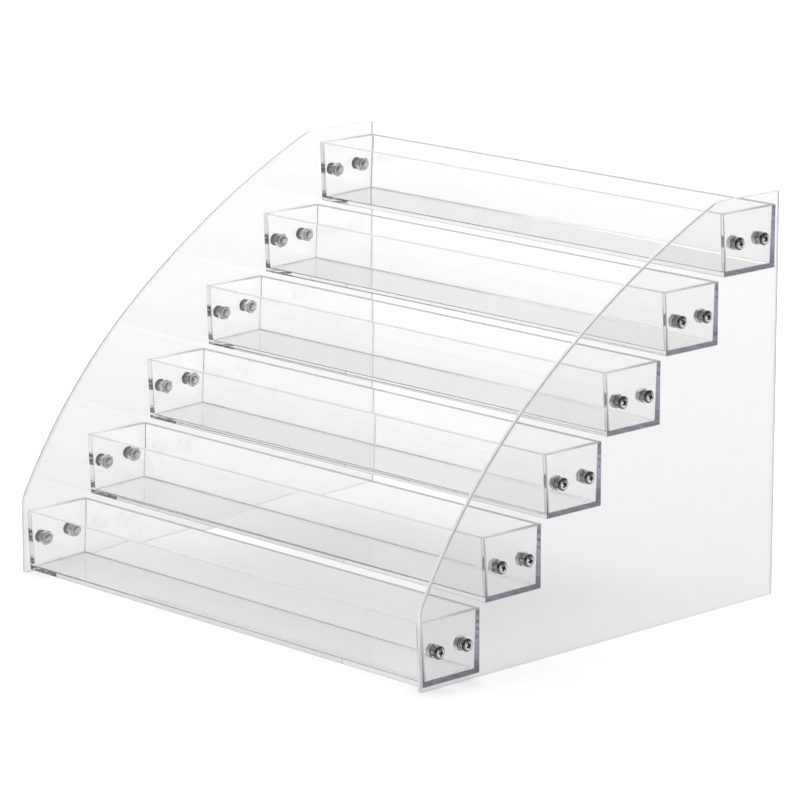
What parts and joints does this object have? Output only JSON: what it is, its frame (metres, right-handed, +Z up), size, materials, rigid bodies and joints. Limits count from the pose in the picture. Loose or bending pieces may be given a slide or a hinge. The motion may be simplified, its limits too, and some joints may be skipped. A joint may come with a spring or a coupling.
{
  "type": "nail polish rack",
  "caption": "Tiered clear countertop rack: open trays climbing like stairs between two clear side panels with a bowed front edge, held by small screws and nuts.",
  "frame": {"origin": "on the table, under the middle of the rack: the centre of the bottom of its bounding box", "axes": "+X runs along the trays, +Y from the front to the back, +Z up"},
  "size_m": [0.3268, 0.2694, 0.2265],
  "materials": {
    "side_panels": "clear polished acrylic sheet, almost colourless, faint grey at its cut edges",
    "trays": "clear glossy moulded plastic, faint blue-grey where seen along its thickness",
    "screws": "bright zinc or nickel plated steel",
    "nuts": "bright zinc or nickel plated steel, slightly duller than the screw heads"
  },
  "bodies": {
    "root": {"left_panel": "side_panels", "right_panel": "side_panels", "tray_1": "trays", "tray_2": "trays", "tray_3": "trays", "tray_4": "trays", "tray_5": "trays", "tray_6": "trays", "tray_1_left_screws": "screws", "tray_1_left_nuts": "nuts", "tray_2_left_screws": "screws", "tray_2_left_nuts": "nuts", "tray_3_left_screws": "screws", "tray_3_left_nuts": "nuts", "tray_4_left_screws": "screws", "tray_4_left_nuts": "nuts", "tray_5_left_screws": "screws", "tray_5_left_nuts": "nuts", "tray_6_left_screws": "screws", "tray_6_left_nuts": "nuts", "tray_1_right_screws": "screws", "tray_1_right_nuts": "nuts", "tray_2_right_screws": "screws", "tray_2_right_nuts": "nuts", "tray_3_right_screws": "screws", "tray_3_right_nuts": "nuts", "tray_4_right_screws": "screws", "tray_4_right_nuts": "nuts", "tray_5_right_screws": "screws", "tray_5_right_nuts": "nuts", "tray_6_right_screws": "screws", "tray_6_right_nuts": "nuts"}
  },
  "joints": []
}
